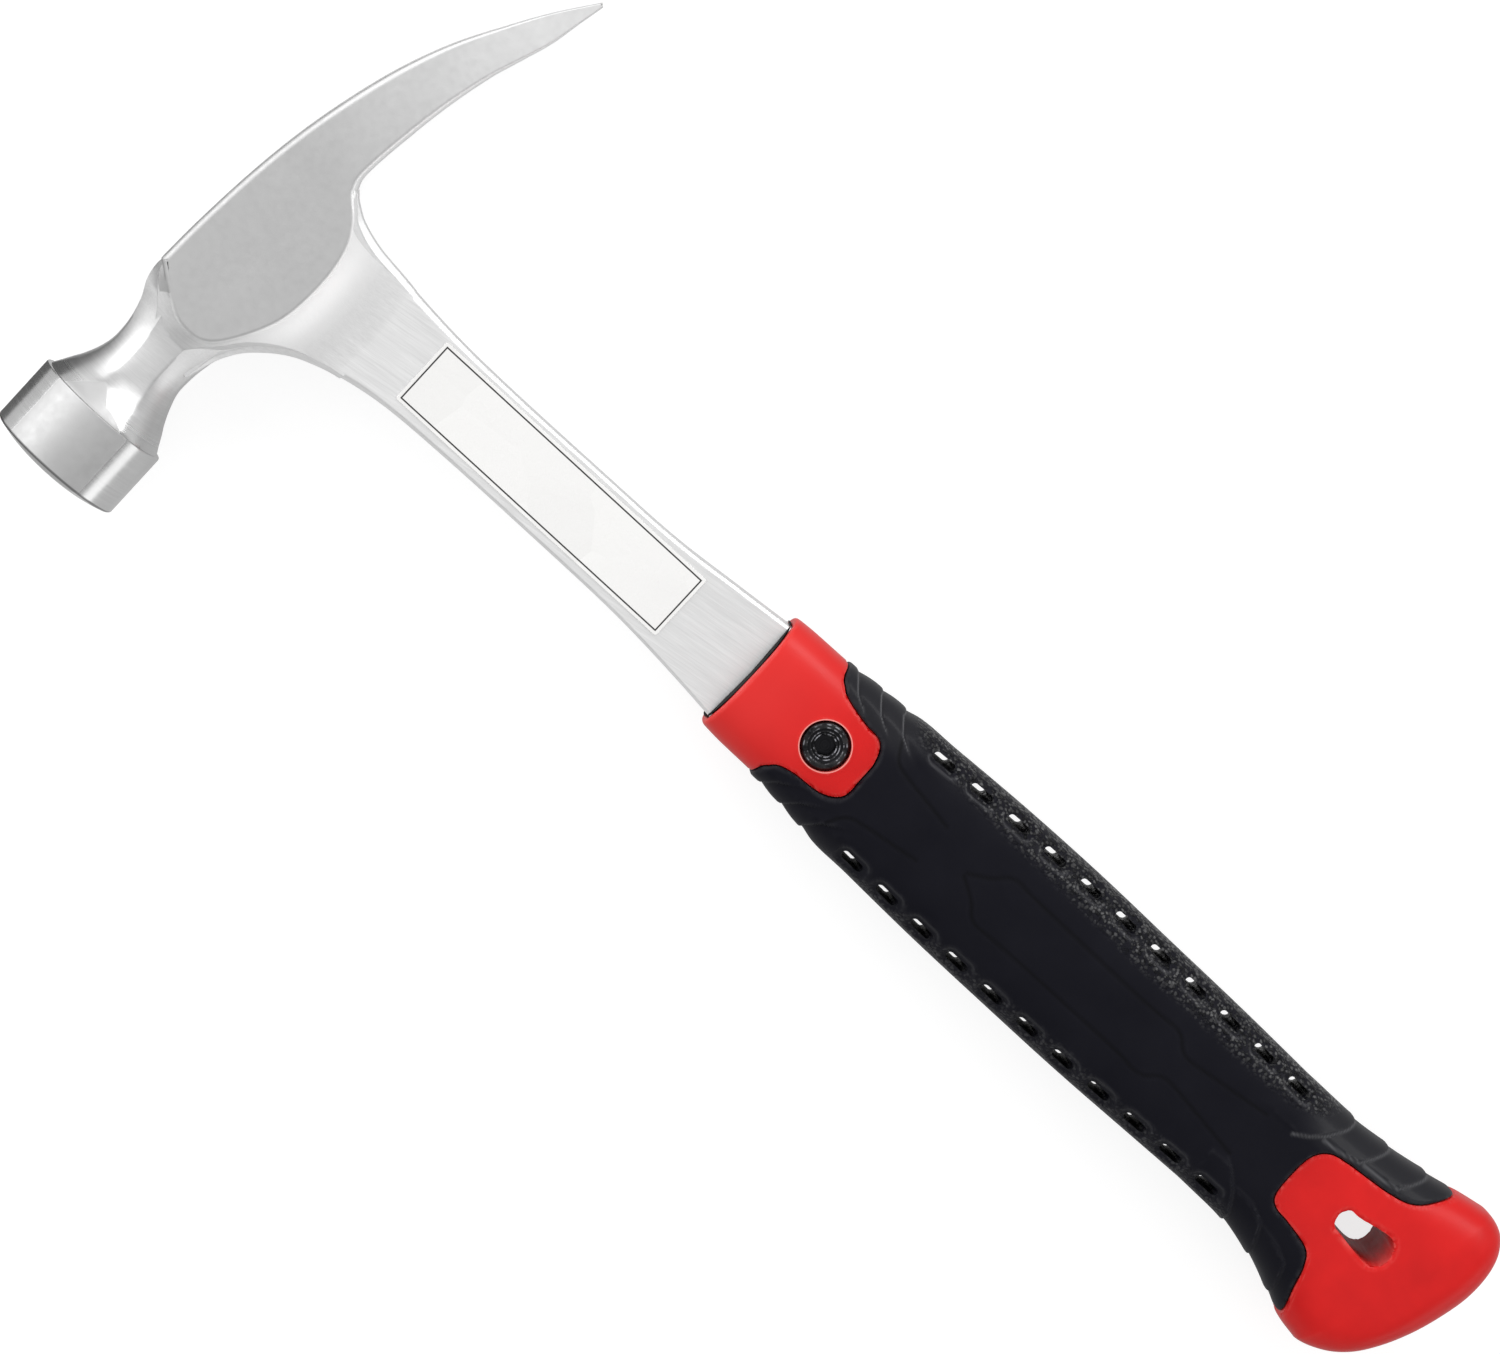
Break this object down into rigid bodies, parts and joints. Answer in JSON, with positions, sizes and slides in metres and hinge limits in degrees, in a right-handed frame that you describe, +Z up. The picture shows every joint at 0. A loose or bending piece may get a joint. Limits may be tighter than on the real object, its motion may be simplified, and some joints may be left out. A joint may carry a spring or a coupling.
{
  "type": "framing hammer",
  "caption": "Straight-claw framing hammer forged in one piece, with a crowned face, octagonal neck, bare label film and a slotted soft grip over a moulded handle with a hang hole.",
  "frame": {"origin": "Under the middle of the whole object, on the plane that it lies on.", "axes": "+X down the handle toward the butt, +Y from the striking face toward the claw, +Z up out of the cheek that carries the label."},
  "size_m": [0.3464, 0.1448, 0.0298],
  "materials": {
    "steel": "forged and linished steel, polished round the bell",
    "red_moulding": "satin moulded plastic",
    "black_grip": "soft overmould with a leather grain",
    "seal_rubber": "plain rubber",
    "black_screw": "black oxide",
    "black_nut": "black oxide",
    "label_film": "bare white film"
  },
  "bodies": {
    "root": {"forged_head": "steel", "handle_core": "red_moulding", "grip_sleeve": "black_grip", "collar_seal": "seal_rubber", "clamp_screw": "black_screw", "barrel_nut": "black_nut", "label": "label_film"}
  },
  "joints": []
}
